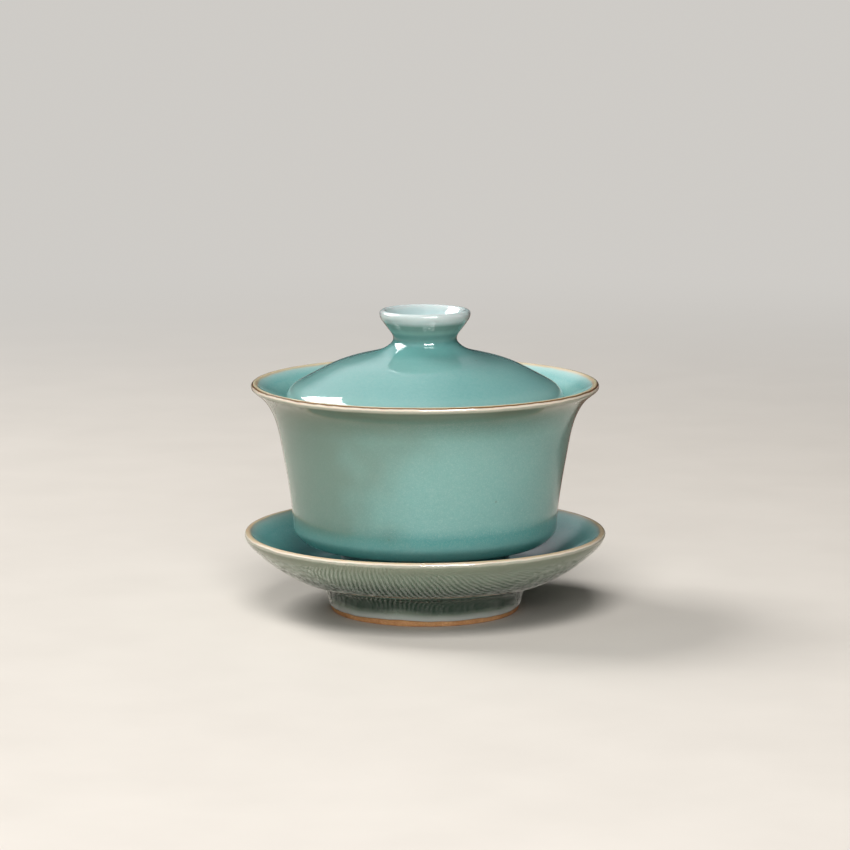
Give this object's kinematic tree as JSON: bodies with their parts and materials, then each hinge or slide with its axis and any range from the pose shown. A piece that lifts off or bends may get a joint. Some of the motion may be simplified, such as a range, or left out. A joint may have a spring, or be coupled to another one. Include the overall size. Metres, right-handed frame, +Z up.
{
  "type": "gaiwan",
  "caption": "Lidded tea bowl with a trumpet lip, a domed drop-in lid with a hollow knob, and a footed saucer, in pale blue-green glazed stoneware.",
  "frame": {"origin": "centre of the saucer's foot, in the plane it stands on", "axes": "+Z up along the common turning axis of saucer, bowl and lid; X and Y are level and equivalent"},
  "size_m": [0.1, 0.1, 0.0837],
  "materials": {
    "celadon_glaze": "gloss"
  },
  "bodies": {
    "saucer": {"saucer": "celadon_glaze"},
    "bowl": {"bowl": "celadon_glaze"},
    "lid": {"lid": "celadon_glaze"}
  },
  "joints": [
    {"name": "bowl_lift", "type": "slide", "parent": "saucer", "child": "bowl", "axis": [0, 0, 1], "range_m": [0, 0.06]},
    {"name": "lid_lift", "type": "slide", "parent": "bowl", "child": "lid", "axis": [0, 0, 1], "range_m": [0, 0.06]}
  ]
}
